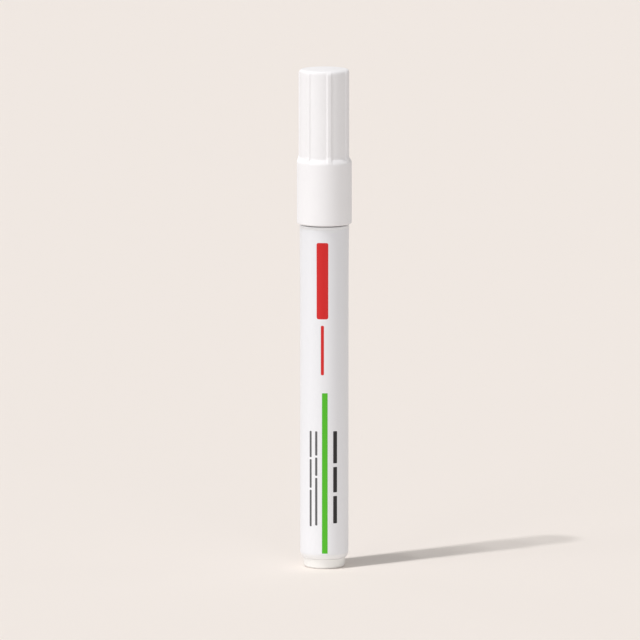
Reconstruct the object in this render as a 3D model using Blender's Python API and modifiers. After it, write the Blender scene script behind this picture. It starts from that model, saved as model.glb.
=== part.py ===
"""A nail primer pen: a round white barrel with a pressed-on ribbed cap over a felt applicator tip.

Pressing the tip opens a spring-loaded valve, which lets primer run from the barrel into the nose.
Metres, +Z up along the pen, which stands on its foot at the origin. The printed side faces -Y.
Radii build up from the tip outwards, and heights from the foot upwards.
"""

import math

import bmesh
import bpy

# Clearances
FIT_GAP = 0.0002          # radial, between pieces pressed together
SEAT_GAP = 0.0003         # along the axis, between a piece and its seat
SLIDE_GAP = 0.00025       # radial, between the cap and the collar that it slides on
VALVE_GAP = 0.0004        # radial, around the moving valve stem, where primer passes
FILM_GAP = 0.00005        # between the label film and the barrel
OVERRUN = 0.0005          # how far a cutter reaches past what it cuts

# Applicator tip
NIB_RADIUS = 0.0015
NIB_EXPOSED = 0.0047      # from the mouth of the nose to the point
NIB_POINT = 0.0022        # length of the rounded end
NIB_CHAMFER = 0.0003      # at its tail

# Valve stem, which carries the tail of the tip in a socket
STEM_RADIUS = 0.0009
SOCKET_DEPTH = 0.0015
SOCKET_WALL = 0.0008
SOCKET_FLOOR = 0.0011
STOPPER_RADIUS = 0.0019   # the disc at its lower end
STOPPER_HEIGHT = 0.0008
STOPPER_CHAMFER = 0.0004

# Soft washer between the stopper and the valve housing
SEAL_HEIGHT = 0.0007
SEAL_OVERHANG = 0.0001    # past the stopper

# Valve housing
HOUSING_WALL = 0.0006
HOUSING_DEPTH = 0.0095    # from the underside of its flange to its floor
HOUSING_FLOOR = 0.0010
HOUSING_FLANGE = 0.0008

# Gasket under the housing's flange
GASKET_HEIGHT = 0.0005
GASKET_SETBACK = 0.0001   # from both sides of the neck's rim

# Valve spring
SPRING_WIRE_RADIUS = 0.0002
SPRING_TURNS = 6
SPRING_TURN_POINTS = 10

# Barrel
NECK_WALL = 0.0009
NECK_LENGTH = 0.0082
BARREL_LENGTH = 0.08345   # from its lower rim to the shoulder under the cap
BARREL_WALL = 0.00132
BARREL_LEDGE = 0.00142    # how far the barrel stands out past its neck
LIP_FLARE = 0.00014       # extra radius at the shoulder
FLARE_LENGTH = 0.0200
FLARE_MID_SHARE = 0.35    # part of the flare that is reached half way up
LIP_ROUND = 0.00035
ROUND_RUN = 0.00115       # lower edge, across
ROUND_RISE = 0.0019       # lower edge, along the axis
ROUND_END_DEG = 70.0
SHOULDER_BORE_DROP = 0.0010
BORE_TAPER = 0.0018

# Label film, which lies in a shallow panel of the barrel
FILM = 0.0001
PANEL_ABOVE_RIM = 0.00115
PANEL_BELOW_SHOULDER = 0.0007
PANEL_END_GAP = 0.00005

# End plug and foot
FOOT_HEIGHT = 0.0021
FOOT_SETBACK = 0.00082    # from the barrel's radius in to the foot's
FOOT_DRAFT = 0.0002       # how much the foot narrows towards its lower edge
FOOT_ROUND = 0.0006
PLUG_LENGTH = 0.0060      # inside the barrel
PLUG_WALL = 0.0009
PLUG_FLOOR = 0.0012
PLUG_LEAD_IN = 0.0003
DISH_DEPTH = 0.00035
DISH_RIM = 0.0012         # width of the ring that it stands on

# Primer
FILL_HEIGHT = 0.0497      # above the rim of the plug

# Nose, whose collar grips the neck and carries the cap
COLLAR_WALL = 0.0007
NOSE_SHOULDER = 0.0009
NOSE_SHOULDER_ROUND = 0.0004
NOSE_WALL = 0.0010
NOSE_SEAT_LENGTH = 0.0042
NOSE_CONE_LENGTH = 0.0090
NOSE_TIP_LENGTH = 0.0018
NOSE_TIP_WALL = 0.0005
NOSE_TIP_ROUND = 0.0002
NOSE_GUIDE_LENGTH = 0.0050

# Snap beads and the grooves that take them
BEAD_HEIGHT = 0.0001
BEAD_HALF_LENGTH = 0.0006
NECK_BEAD_BELOW_TOP = 0.0030
COLLAR_BEAD_ABOVE_RIM = 0.0060
PLUG_BEAD_ABOVE_FLANGE = 0.0035

# Cap
CAP_GAP = 0.0005          # shadow gap between the cap and the barrel's shoulder
SKIRT_LENGTH = 0.0153
SKIRT_WALL = 0.00106
SKIRT_ROUND = 0.00035
SHOULDER_RISE = 0.0010    # from the skirt up to the floor of the flutes
SHOULDER_LIP = 0.0002     # the steep part of it, next to the skirt
RIB_FOOT_RISE = 0.0006    # how much further the ribs run down on to the shoulder
GRIP_WALL = 0.00123
CAP_STEP_DROP = 0.0008    # from the outer shoulder down to the inner one
CAP_ROOF = 0.0016
CAP_HEADROOM = 0.00525    # above the point of the applicator tip
DOME_RISE = 0.0002
CAP_EDGE_ROUND = 0.0011

# Ribs of the cap
RIBS = 7
RIB_HEIGHT = 0.0002
RIB_WIDTH = 0.0006
RIB_FLANK = 0.0004
RIB_TURN_DEG = 10.9       # from the printed side to the first rib
FLANK_REACH_SHARE = 1.3   # the cutter's flank, as a part of the rib's

# Sealing liner inside the cap
LINER_SEAL_GAP = 0.00015
LINER_WALL = 0.0007
LINER_UPPER_WALL = 0.00145
LINER_STEP = 0.0035
LINER_ROOF = 0.0010

# Fineness of the round shapes
FACETS = 48
SMALL_FACETS = 32
ARC_STEPS = 4
FLUTE_STEPS = 8
MERGE = 0.000002
SHARP_ANGLE_DEG = 28.0

# Radii, from the tip outwards
guide_radius = NIB_RADIUS + FIT_GAP
socket_radius = guide_radius + SOCKET_WALL
valve_bore = socket_radius + VALVE_GAP
housing_radius = valve_bore + HOUSING_WALL
neck_bore = housing_radius + FIT_GAP
neck_radius = neck_bore + NECK_WALL
collar_bore = neck_radius + FIT_GAP
collar_radius = collar_bore + COLLAR_WALL
skirt_bore = collar_radius + SLIDE_GAP
skirt_radius = skirt_bore + SKIRT_WALL
barrel_radius = neck_radius + BARREL_LEDGE
lip_radius = barrel_radius + LIP_FLARE
bore_radius = barrel_radius - BARREL_WALL
foot_radius = barrel_radius - FOOT_SETBACK
plug_radius = bore_radius - FIT_GAP
nose_seat_radius = valve_bore + NOSE_WALL
nose_tip_radius = guide_radius + NOSE_TIP_WALL
liner_bore = nose_seat_radius + LINER_SEAL_GAP
liner_radius = liner_bore + LINER_WALL
grip_bore = liner_radius + FIT_GAP
flute_radius = grip_bore + GRIP_WALL
rib_radius = flute_radius + RIB_HEIGHT

# Heights, from the foot upwards
rim_z = FOOT_HEIGHT + SEAT_GAP
shoulder_z = rim_z + BARREL_LENGTH
neck_top = shoulder_z + NECK_LENGTH
gasket_z = neck_top + SEAT_GAP
flange_z = gasket_z + GASKET_HEIGHT + SEAT_GAP
flange_top = flange_z + HOUSING_FLANGE
floor_top = flange_z - HOUSING_DEPTH
floor_z = floor_top - HOUSING_FLOOR
seal_top = floor_z - SEAT_GAP
stopper_top = seal_top - SEAL_HEIGHT - SEAT_GAP
socket_floor = flange_top - SOCKET_DEPTH
nib_tail = socket_floor + SEAT_GAP
collar_z = shoulder_z + SEAT_GAP
nose_roof = flange_top + SEAT_GAP
nose_shoulder = nose_roof + NOSE_SHOULDER
cone_z = nose_shoulder + NOSE_SEAT_LENGTH
cone_top = cone_z + NOSE_CONE_LENGTH
mouth_z = cone_top + NOSE_TIP_LENGTH
nib_top = mouth_z + NIB_EXPOSED
cap_z = shoulder_z + CAP_GAP
skirt_top = cap_z + SKIRT_LENGTH
flute_z = skirt_top + SHOULDER_RISE
liner_z = nose_shoulder + SEAT_GAP
liner_roof = nib_top + CAP_HEADROOM
liner_top = liner_roof + LINER_ROOF
cap_roof = liner_top + SEAT_GAP
cap_top = cap_roof + CAP_ROOF

# Places that two pieces share
neck_bead_z = neck_top - NECK_BEAD_BELOW_TOP
collar_bead_z = collar_z + COLLAR_BEAD_ABOVE_RIM
plug_bead_z = rim_z + PLUG_BEAD_ABOVE_FLANGE
panel_bottom = rim_z + PANEL_ABOVE_RIM
panel_top = shoulder_z - PANEL_BELOW_SHOULDER


def clear_scene():
    for obj in list(bpy.data.objects):
        bpy.data.objects.remove(obj)


def new_collection(name):
    collection = bpy.data.collections.new(name)
    bpy.context.scene.collection.children.link(collection)
    return collection


def new_empty(name, collection, z, parent=None):
    """An empty on the pen's axis, which carries the pieces of one moving group."""
    empty = bpy.data.objects.new(name, None)
    empty.empty_display_size = barrel_radius
    collection.objects.link(empty)
    place(empty, z, parent)
    return empty


def place(obj, z, parent):
    obj.parent = parent
    obj.location.z = z - (parent.matrix_world.translation.z if parent else 0)
    bpy.context.view_layer.update()


def set_material(obj, colour, roughness, metallic=0.0, alpha=1.0):
    material = bpy.data.materials.new(obj.name)
    material.use_nodes = True
    shader = material.node_tree.nodes["Principled BSDF"]
    shader.inputs["Base Color"].default_value = (*colour, 1.0)
    shader.inputs["Roughness"].default_value = roughness
    shader.inputs["Metallic"].default_value = metallic
    shader.inputs["Alpha"].default_value = alpha
    obj.data.materials.append(material)


def arc(centre, run, rise, start_deg, end_deg, steps=ARC_STEPS):
    """Points of an elliptical arc. 0 degrees points away from the axis and 90 points up."""
    points = []
    for step in range(steps + 1):
        angle = math.radians(start_deg + (end_deg - start_deg) * step / steps)
        points.append((centre[0] + run * math.cos(angle), centre[1] + rise * math.sin(angle)))
    return points


def ridge(radius, z, height, direction):
    """A low snap ridge on a wall that runs up (direction 1) or down (-1)."""
    half = BEAD_HALF_LENGTH * direction
    return [(radius, z - half), (radius + height, z), (radius, z + half)]


def turned(name, profile, group, z, collection, facets=FACETS):
    """A solid of revolution. The profile runs down the outer side, then up the inner side."""
    mesh = bpy.data.meshes.new(name)
    edges = [(i, i + 1) for i in range(len(profile) - 1)]
    if profile[0][0] > 0:
        edges.append((len(profile) - 1, 0))
    mesh.from_pydata([(radius, 0, height - z) for radius, height in profile], edges, [])
    obj = bpy.data.objects.new(name, mesh)
    collection.objects.link(obj)
    turn = obj.modifiers.new("Turn", "SCREW")
    turn.steps = facets
    turn.render_steps = facets
    turn.use_merge_vertices = True
    turn.merge_threshold = MERGE
    place(obj, z, group)
    return obj


def smooth(obj):
    """Applies the modifiers, so that round faces shade smooth and corners stay crisp."""
    graph = bpy.context.evaluated_depsgraph_get()
    mesh = bpy.data.meshes.new_from_object(obj.evaluated_get(graph))
    mesh.name = obj.name
    obj.modifiers.clear()
    obj.data = mesh
    mesh.shade_smooth()
    mesh.set_sharp_from_angle(angle=math.radians(SHARP_ANGLE_DEG))


def flare_points(offset):
    """The barrel's gentle flare under the cap, from the label panel's top down."""
    start = shoulder_z - FLARE_LENGTH
    middle = start + (panel_top - start) / 2
    share = (panel_top - start) / FLARE_LENGTH
    return [
        (barrel_radius + LIP_FLARE * share + offset, panel_top),
        (barrel_radius + LIP_FLARE * share * FLARE_MID_SHARE + offset, middle),
        (barrel_radius + offset, start),
    ]


def rim_round(offset, start_deg, end_deg, steps=ARC_STEPS):
    """The barrel's rounded lower edge, between two angles below the horizontal."""
    centre = (barrel_radius - ROUND_RUN, rim_z + ROUND_RISE * math.sin(math.radians(ROUND_END_DEG)))
    return arc(centre, ROUND_RUN + offset, ROUND_RISE + offset, -start_deg, -end_deg, steps)


def rim_angle(z, offset):
    """The angle at which the rounded lower edge reaches a height."""
    centre = rim_z + ROUND_RISE * math.sin(math.radians(ROUND_END_DEG))
    return math.degrees(math.asin((centre - z) / (ROUND_RISE + offset)))


def build_barrel(group, collection):
    depth = -(FILM + FILM_GAP)
    flare = flare_points(depth)
    lip = (lip_radius - LIP_ROUND, shoulder_z - LIP_ROUND)
    profile = [(neck_bore, neck_top), (neck_radius, neck_top)]
    profile += ridge(neck_radius, neck_bead_z, BEAD_HEIGHT, -1)
    profile += [(neck_radius, shoulder_z)]
    profile += arc(lip, LIP_ROUND, LIP_ROUND, 90, 0)
    profile += [(flare[0][0] - depth, panel_top)] + flare
    profile += rim_round(depth, 0, rim_angle(panel_bottom, depth))
    profile += rim_round(0, rim_angle(panel_bottom, 0), ROUND_END_DEG)
    profile += [(bore_radius, rim_z)]
    profile += ridge(bore_radius, plug_bead_z, BEAD_HEIGHT, 1)
    bore_top = shoulder_z - SHOULDER_BORE_DROP
    profile += [(bore_radius, bore_top - BORE_TAPER), (neck_bore, bore_top)]
    barrel = turned("barrel", profile, group, rim_z, collection)
    set_material(barrel, (0.87, 0.87, 0.87), 0.38)
    return barrel


def build_label(group, collection):
    """A closed sleeve of film, which follows the barrel's outline in its panel."""
    top = panel_top - PANEL_END_GAP
    bottom = panel_bottom + PANEL_END_GAP
    outer = flare_points(0)
    outer[0] = (outer[0][0], top)
    inner = flare_points(-FILM)
    inner[0] = (inner[0][0], top)
    profile = outer + rim_round(0, 0, rim_angle(bottom, 0))
    profile += list(reversed(rim_round(-FILM, 0, rim_angle(bottom, -FILM))))
    profile += list(reversed(inner))
    label = turned("label_sleeve", profile, group, bottom, collection)
    set_material(label, (0.88, 0.88, 0.89), 0.35)
    return label


def build_end_plug(group, collection):
    floor = DISH_DEPTH + PLUG_FLOOR
    top = rim_z + PLUG_LENGTH
    inner = plug_radius - PLUG_WALL
    lower = foot_radius - FOOT_DRAFT
    dish = lower - FOOT_ROUND - DISH_RIM
    profile = [(0, floor), (inner, floor), (inner, top), (plug_radius - PLUG_LEAD_IN, top)]
    profile += [(plug_radius, top - PLUG_LEAD_IN)]
    profile += ridge(plug_radius, plug_bead_z, BEAD_HEIGHT, -1)
    profile += [(plug_radius, FOOT_HEIGHT), (foot_radius, FOOT_HEIGHT)]
    profile += arc((lower - FOOT_ROUND, FOOT_ROUND), FOOT_ROUND, FOOT_ROUND, 0, -90)
    profile += [(dish + DISH_DEPTH, 0), (dish, DISH_DEPTH), (0, DISH_DEPTH)]
    plug = turned("end_plug", profile, group, 0, collection)
    set_material(plug, (0.89, 0.88, 0.86), 0.36)
    return plug


def build_primer(group, collection):
    """The liquid, which fills the plug's cup and stands part way up the barrel."""
    cup = plug_radius - PLUG_WALL - FIT_GAP
    floor = DISH_DEPTH + PLUG_FLOOR + SEAT_GAP
    rim = rim_z + PLUG_LENGTH + SEAT_GAP
    column = bore_radius - FIT_GAP
    profile = [(0, rim + FILL_HEIGHT), (column, rim + FILL_HEIGHT), (column, rim)]
    profile += [(cup, rim), (cup, floor), (0, floor)]
    primer = turned("primer_fluid", profile, group, floor, collection, SMALL_FACETS)
    set_material(primer, (0.93, 0.90, 0.96), 0.05, alpha=0.35)
    return primer


def build_nose(group, collection):
    """Collar, sealing seat, cone and guide tube for the tip, moulded as one hollow piece."""
    round_centre = (collar_radius - NOSE_SHOULDER_ROUND, nose_shoulder - NOSE_SHOULDER_ROUND)
    tip_centre = (nose_tip_radius - NOSE_TIP_ROUND, mouth_z - NOSE_TIP_ROUND)
    profile = [(guide_radius, mouth_z)]
    profile += arc(tip_centre, NOSE_TIP_ROUND, NOSE_TIP_ROUND, 90, 0, 2)
    profile += [(nose_tip_radius, cone_top), (nose_seat_radius, cone_z)]
    profile += [(nose_seat_radius, nose_shoulder)]
    profile += arc(round_centre, NOSE_SHOULDER_ROUND, NOSE_SHOULDER_ROUND, 90, 0, 3)
    profile += ridge(collar_radius, collar_bead_z, BEAD_HEIGHT, -1)
    profile += [(collar_radius, collar_z), (collar_bore, collar_z)]
    profile += ridge(collar_bore, neck_bead_z, BEAD_HEIGHT, 1)
    profile += [(collar_bore, nose_roof), (valve_bore, nose_roof), (valve_bore, cone_z)]
    profile += [(guide_radius, mouth_z - NOSE_GUIDE_LENGTH)]
    nose = turned("nose_cone", profile, group, collar_z, collection)
    set_material(nose, (0.88, 0.87, 0.85), 0.4)
    return nose


def build_valve_housing(group, collection):
    hole = STEM_RADIUS + VALVE_GAP
    profile = [(valve_bore, flange_top), (neck_radius, flange_top), (neck_radius, flange_z)]
    profile += [(housing_radius, flange_z), (housing_radius, floor_z), (hole, floor_z)]
    profile += [(hole, floor_top), (valve_bore, floor_top)]
    housing = turned("valve_housing", profile, group, floor_z, collection, SMALL_FACETS)
    set_material(housing, (0.80, 0.82, 0.84), 0.45)
    return housing


def build_gasket(group, collection):
    """A flat ring on the rim of the neck, under the housing's flange."""
    inner = neck_bore + GASKET_SETBACK
    outer = neck_radius - GASKET_SETBACK
    top = gasket_z + GASKET_HEIGHT
    profile = [(inner, top), (outer, top), (outer, gasket_z), (inner, gasket_z)]
    gasket = turned("flange_gasket", profile, group, gasket_z, collection, SMALL_FACETS)
    set_material(gasket, (0.75, 0.75, 0.73), 0.85)
    return gasket


def build_valve_stem(group, collection):
    underside = socket_floor - SOCKET_FLOOR
    foot = stopper_top - STOPPER_HEIGHT
    profile = [(0, socket_floor), (guide_radius, socket_floor), (guide_radius, flange_top)]
    profile += [(socket_radius, flange_top), (socket_radius, underside), (STEM_RADIUS, underside)]
    profile += [(STEM_RADIUS, stopper_top), (STOPPER_RADIUS, stopper_top)]
    profile += [(STOPPER_RADIUS, foot + STOPPER_CHAMFER), (STOPPER_RADIUS - STOPPER_CHAMFER, foot)]
    profile += [(0, foot)]
    stem = turned("valve_stem", profile, group, foot, collection, SMALL_FACETS)
    set_material(stem, (0.72, 0.76, 0.80), 0.4)
    return stem


def build_valve_seal(group, collection):
    bottom = seal_top - SEAL_HEIGHT
    inner = STEM_RADIUS + FIT_GAP
    outer = STOPPER_RADIUS + SEAL_OVERHANG
    profile = [(inner, seal_top), (outer, seal_top), (outer, bottom), (inner, bottom)]
    seal = turned("valve_seal", profile, group, bottom, collection, SMALL_FACETS)
    set_material(seal, (0.10, 0.10, 0.11), 0.8)
    return seal


def spring_points(bottom, length, radius):
    """The centre line of the spring's wire."""
    count = SPRING_TURNS * SPRING_TURN_POINTS
    points = []
    for step in range(count + 1):
        angle = 2 * math.pi * step / SPRING_TURN_POINTS
        z = bottom + length * step / count
        points.append((radius * math.cos(angle), radius * math.sin(angle), z))
    return points


def print_spring_gap(points):
    """Prints the least gap between one turn of the wire and the next."""
    least = math.inf
    for first in range(len(points)):
        for second in range(first + SPRING_TURN_POINTS // 2, len(points)):
            least = min(least, math.dist(points[first], points[second]))
    print(f"least gap between the spring's turns: {1000 * (least - 2 * SPRING_WIRE_RADIUS):.2f} mm")


def build_valve_spring(group, collection):
    """A coil between the housing's floor and the underside of the socket."""
    bottom = floor_top + SEAT_GAP + SPRING_WIRE_RADIUS
    top = socket_floor - SOCKET_FLOOR - SEAT_GAP - SPRING_WIRE_RADIUS
    radius = socket_radius - SPRING_WIRE_RADIUS
    points = spring_points(0, top - bottom, radius)
    print_spring_gap(points)
    curve = bpy.data.curves.new("valve_spring", "CURVE")
    curve.dimensions = "3D"
    curve.bevel_depth = SPRING_WIRE_RADIUS
    curve.bevel_resolution = 1
    curve.use_fill_caps = True
    wire = curve.splines.new("POLY")
    wire.points.add(len(points) - 1)
    for point, position in zip(wire.points, points):
        point.co = (*position, 1)
    spring = bpy.data.objects.new("valve_spring", curve)
    collection.objects.link(spring)
    place(spring, bottom, group)
    set_material(spring, (0.62, 0.62, 0.63), 0.25, metallic=1.0)
    return spring


def build_nib(group, collection):
    """A felt rod with a bullet-shaped end, standing in the stem's socket."""
    profile = arc((0, nib_top - NIB_POINT), NIB_RADIUS, NIB_POINT, 90, 0, 2 * ARC_STEPS)
    profile[0] = (0, nib_top)
    profile += [(NIB_RADIUS, nib_tail + NIB_CHAMFER), (NIB_RADIUS - NIB_CHAMFER, nib_tail)]
    profile += [(0, nib_tail)]
    nib = turned("nib", profile, group, nib_tail, collection, SMALL_FACETS)
    set_material(nib, (0.86, 0.84, 0.79), 0.95)
    return nib


def build_cap_blank(group, collection):
    """The cap before its flutes are cut."""
    edge = rib_radius - CAP_EDGE_ROUND
    edge_z = cap_top - DOME_RISE
    dome = []
    for step in range(ARC_STEPS):
        share = step / ARC_STEPS
        dome.append((edge * share, cap_top - DOME_RISE * share**2))
    bead = collar_bead_z
    inner_step = flute_z - CAP_STEP_DROP
    profile = dome + arc((edge, edge_z - CAP_EDGE_ROUND), CAP_EDGE_ROUND, CAP_EDGE_ROUND, 90, 0)
    profile += [(rib_radius, flute_z + RIB_FOOT_RISE), (skirt_radius, skirt_top)]
    profile += arc((skirt_radius - SKIRT_ROUND, cap_z + SKIRT_ROUND), SKIRT_ROUND, SKIRT_ROUND, 0, -90, 3)
    profile += [(skirt_bore, cap_z)]
    profile += ridge(skirt_bore, bead, BEAD_HEIGHT, 1)
    profile += [(skirt_bore, inner_step - SHOULDER_RISE), (grip_bore, inner_step)]
    profile += [(grip_bore, cap_roof), (0, cap_roof)]
    return turned("cap_shell", profile, group, cap_z, collection)


def flute_sections():
    """(angle, inner radius) of the flute's cutter, from one flank across the floor to the other."""
    flank = RIB_FLANK / rib_radius
    half_floor = math.pi / RIBS - RIB_WIDTH / (2 * rib_radius) - flank
    reach = FLANK_REACH_SHARE * flank
    crest = flute_radius + FLANK_REACH_SHARE * RIB_HEIGHT
    sections = [(-half_floor - reach, crest)]
    for step in range(FLUTE_STEPS + 1):
        sections.append((half_floor * (2 * step / FLUTE_STEPS - 1), flute_radius))
    sections.append((half_floor + reach, crest))
    return sections


def flute_mesh():
    """A curved wedge that clears one flute, down to a sloping shoulder and out through the top edge."""
    outer = skirt_radius + OVERRUN
    fall = (SHOULDER_RISE - SHOULDER_LIP) / (skirt_radius - flute_radius)
    work = bmesh.new()
    loops = []
    for angle, inner in flute_sections():
        corners = [
            (inner, flute_z - (inner - flute_radius) * fall),
            (inner, cap_top + OVERRUN),
            (outer, cap_top + OVERRUN),
            (outer, flute_z - (outer - flute_radius) * fall),
        ]
        loops.append(
            [work.verts.new((r * math.cos(angle), r * math.sin(angle), z - cap_z)) for r, z in corners]
        )
    for first, second in zip(loops, loops[1:]):
        for i in range(len(first)):
            j = (i + 1) % len(first)
            work.faces.new((first[i], first[j], second[j], second[i]))
    work.faces.new(loops[0])
    work.faces.new(loops[-1])
    bmesh.ops.recalc_face_normals(work, faces=work.faces)
    mesh = bpy.data.meshes.new("flute_cutter")
    work.to_mesh(mesh)
    work.free()
    return mesh


def build_cap_shell(group, collection, cutters):
    """A ribbed grip over a wider smooth skirt. The flutes between the ribs are cut from a turned blank."""
    cap = build_cap_blank(group, collection)
    mesh = flute_mesh()
    for index in range(RIBS):
        cutter = bpy.data.objects.new(f"flute_cutter_{index + 1}", mesh)
        cutters.objects.link(cutter)
        cutter.hide_render = True
        cutter.display_type = "WIRE"
        turn = RIB_TURN_DEG - 90 + 360 * (index + 0.5) / RIBS
        cutter.rotation_euler.z = math.radians(turn)
        place(cutter, cap_z, group)
    cut = cap.modifiers.new("Flutes", "BOOLEAN")
    cut.operation = "DIFFERENCE"
    cut.solver = "EXACT"
    cut.operand_type = "COLLECTION"
    cut.collection = cutters
    set_material(cap, (0.89, 0.88, 0.86), 0.36)
    return cap


def build_cap_liner(group, collection):
    """A soft inner cup, which seals on the nose and holds the tip's vapour in."""
    upper = liner_radius - LINER_UPPER_WALL
    step_z = cone_z + SEAT_GAP
    profile = [(0, liner_top), (liner_radius, liner_top), (liner_radius, liner_z)]
    profile += [(liner_bore, liner_z), (liner_bore, step_z), (upper, step_z + LINER_STEP)]
    profile += [(upper, liner_roof), (0, liner_roof)]
    liner = turned("cap_liner", profile, group, liner_z, collection)
    set_material(liner, (0.84, 0.85, 0.86), 0.5)
    return liner


def main():
    clear_scene()
    pen = new_collection("nail_primer_pen")
    cutters = new_collection("cutters")
    body = new_empty("pen_axis", pen, 0)
    cap_slide = new_empty("cap_slide", pen, cap_z, body)
    nib_slide = new_empty("nib_slide", pen, nib_tail, body)
    parts = [
        build_barrel(body, pen),
        build_label(body, pen),
        build_end_plug(body, pen),
        build_primer(body, pen),
        build_nose(body, pen),
        build_valve_housing(body, pen),
        build_gasket(body, pen),
        build_valve_stem(nib_slide, pen),
        build_valve_seal(nib_slide, pen),
        build_nib(nib_slide, pen),
        build_cap_shell(cap_slide, pen, cutters),
        build_cap_liner(cap_slide, pen),
    ]
    for part in parts:
        smooth(part)
    build_valve_spring(body, pen)


main()
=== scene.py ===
import math

import bmesh
import bpy
from mathutils import Matrix, Vector


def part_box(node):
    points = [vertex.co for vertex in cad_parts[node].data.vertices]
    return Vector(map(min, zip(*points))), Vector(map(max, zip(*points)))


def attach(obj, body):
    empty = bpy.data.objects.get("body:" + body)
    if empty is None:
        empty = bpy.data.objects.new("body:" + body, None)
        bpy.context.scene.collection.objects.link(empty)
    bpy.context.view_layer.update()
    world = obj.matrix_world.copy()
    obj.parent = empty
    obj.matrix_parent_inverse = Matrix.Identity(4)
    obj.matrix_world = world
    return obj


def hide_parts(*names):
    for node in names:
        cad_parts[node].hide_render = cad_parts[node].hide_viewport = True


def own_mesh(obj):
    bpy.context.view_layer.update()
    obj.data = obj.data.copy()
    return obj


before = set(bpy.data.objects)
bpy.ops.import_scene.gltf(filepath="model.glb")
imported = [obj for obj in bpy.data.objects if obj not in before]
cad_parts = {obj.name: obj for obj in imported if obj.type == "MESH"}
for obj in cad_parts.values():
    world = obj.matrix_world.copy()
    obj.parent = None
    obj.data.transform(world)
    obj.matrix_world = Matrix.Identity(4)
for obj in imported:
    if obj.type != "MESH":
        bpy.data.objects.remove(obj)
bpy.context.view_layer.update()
boxes = {node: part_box(node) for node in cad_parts}

# Fineness of the new pieces
SEGMENTS = 128            # columns round a plain turned piece
FILLET_STEP = math.radians(11)
FILLET_LEAST = 3          # fewest steps of an arc
SUPPORT = 0.00012         # from a rounded corner to the row that holds its shading
LONG = 3 * SUPPORT        # a straight stretch longer than this gets such rows
MERGE = 1e-7
SHARP_ANGLE = math.radians(32)
EDGE = 0.00008            # the small round of a moulded edge

# Snap beads and their grooves, as high and as long as in the frame
BEAD_HEIGHT = 0.0001
BEAD_HALF = 0.0006
COLLAR_BEAD_UP = 0.0060   # above the collar's rim
NECK_BEAD_DOWN = 0.0030   # below the neck's top
PLUG_BEAD_UP = 0.0035     # above the barrel's rim
OUTER_WALL = -1           # an outer wall is drawn downwards
BORE_WALL = 1             # and a bore upwards

# Cap
SKIRT_LENGTH = 0.0153
SKIRT_WALL = 0.00106
SKIRT_ROUND = 0.00035
SKIRT_DROP = 0.0002       # how much closer the skirt comes to the barrel's shoulder
SKIRT_TOP_ROUND = 0.0007
SHOULDER_SOFT = 0.0005    # how softly the floor of a flute runs over the shoulder to the skirt
SHOULDER_RISE = 0.0010    # from the skirt up to the floor of the flutes
SHOULDER_LIP = 0.0002     # the steep part of it, next to the skirt
SHOULDER_ROWS = 18
RIB_FOOT_RISE = 0.0006    # how much higher the ribs start to widen than the flutes' floor does
GRIP_DROP = 0.00043       # from the skirt's radius in to the ribs'
GRIP_WALL = 0.00123
CAP_ROOF = 0.0016
CAP_STEP_DROP = 0.0008
CAP_EDGE_ROUND = 0.0011
EDGE_ROWS = 18
DOME_RISE = 0.00032
DOME_ROWS = 9

# Ribs of the cap
RIBS = 7
RIB_HEIGHT = 0.0002
RIB_WIDTH = 0.0007
RIB_FLANK = 0.00048
RIB_TURN = math.radians(11.5)   # from the printed side to the first rib
RIB_COLUMNS = 4
FLANK_COLUMNS = 8
FLOOR_COLUMNS = 12
RUN_OUT = 0.0004          # how softly a flute runs out into the rounded top edge

# Barrel and label
BARREL_WALL = 0.00132
NECK_WALL = 0.0009
LEDGE = 0.00142           # how far the barrel stands out past its neck
NECK_LENGTH = 0.0082
LIP_FLARE = 0.00014       # how much wider the barrel is at its shoulder
LIP_ROUND = 0.00035
FLARE_LENGTH = 0.0200
FLARE_ROWS = 12
ROUND_RUN = 0.00115       # the barrel's rounded lower edge, across
ROUND_RISE = 0.0019       # and along the axis
ROUND_END = math.radians(70)
ROUND_ROWS = 16
BORE_DROP = 0.0010        # from the shoulder down to the end of the neck's bore
BORE_TAPER = 0.0018
FILM = 0.0001
FILM_GAP = 0.00005
FILM_END_GAP = 0.00001    # the film's ends lie close against the barrel's edges
OVERLAP_LIFT = 0.00003    # where the film's end lies over its start, at the back
OVERLAP_TURN = math.radians(14)

# Foot and plug
FOOT_ROUND = 0.0006
FOOT_DRAFT = 0.0002       # how much the foot narrows towards its lower edge
SEAM = 0.00005            # between the foot and the barrel's rim
PLUG_SETBACK = 0.00070    # from the foot's radius in to the plug's
PLUG_WALL = 0.0009
PLUG_FLOOR = 0.0012
PLUG_LEAD_IN = 0.0003
DISH_DEPTH = 0.00035
DISH_RIM = 0.0012
GATE_RADIUS = 0.0005      # the mark where the plastic was fed in
GATE_HEIGHT = 0.00012

# Nose
COLLAR_WALL = 0.0007
NOSE_ROOF_UP = 0.0101     # from the collar's rim to the underside of its roof
NOSE_SHOULDER = 0.0009
NOSE_SHOULDER_ROUND = 0.0004
NOSE_SEAT_DROP = 0.0016   # from the collar's radius in to the sealing seat's
NOSE_SEAT_LENGTH = 0.0042
NOSE_WALL = 0.0010
NOSE_CONE_LENGTH = 0.0090
NOSE_TIP_WALL = 0.0005
NOSE_TIP_ROUND = 0.0002
NOSE_GUIDE_LENGTH = 0.0050
GUIDE_GAP = 0.0002        # between the tip and its guide

# Applicator tip
NIB_POINT = 0.0022
NIB_ROWS = 14
NIB_CHAMFER = 0.0003

# Valve spring
WIRE_RADIUS = 0.0002
SPRING_TURNS = 6
TURN_STEPS = 24
WIRE_SIDES = 10

# Liner of the cap
LINER_WALL = 0.0007
LINER_UPPER_WALL = 0.00145
LINER_ROOF = 0.0010
LINER_STEP_UP = 0.0042    # from its rim to where it narrows
LINER_STEP = 0.0035

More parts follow.
